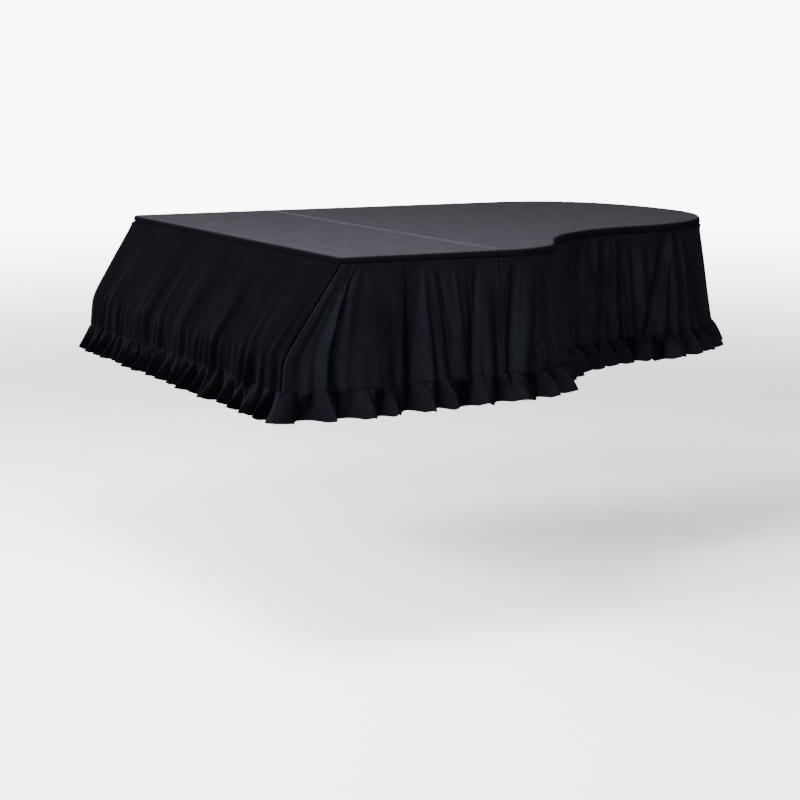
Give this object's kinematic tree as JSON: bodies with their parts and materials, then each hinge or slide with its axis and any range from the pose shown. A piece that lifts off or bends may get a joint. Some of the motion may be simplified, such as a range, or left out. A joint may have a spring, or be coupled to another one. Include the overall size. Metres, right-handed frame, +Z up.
{
  "type": "grand piano cover",
  "caption": "Fitted black cloth cover for a grand piano: flat top following the lid, drop panels that slope out over the keyboard, and a gathered frill along the hem.",
  "frame": {"origin": "on the underside of the flat top, midway across its width and 812 mm behind the front edge of the lid", "axes": "+Z up, +Y towards the tail, +X towards the treble side, where the bent side curves in"},
  "size_m": [1.6853, 1.9305, 0.4033],
  "materials": {
    "cover_cloth": "matt black napped cloth with a soft grey sheen at low angles",
    "frill_cloth": "the same matt black cloth, gathered into a frill"
  },
  "bodies": {
    "root": {"top_front": "cover_cloth", "top_main": "cover_cloth", "skirt_front": "cover_cloth", "skirt_treble": "cover_cloth", "skirt_bentside": "cover_cloth", "skirt_tail": "cover_cloth", "skirt_spine": "cover_cloth", "ruffle_front": "frill_cloth", "ruffle_treble": "frill_cloth", "ruffle_bentside": "frill_cloth", "ruffle_tail": "frill_cloth", "ruffle_spine": "frill_cloth"}
  },
  "joints": []
}
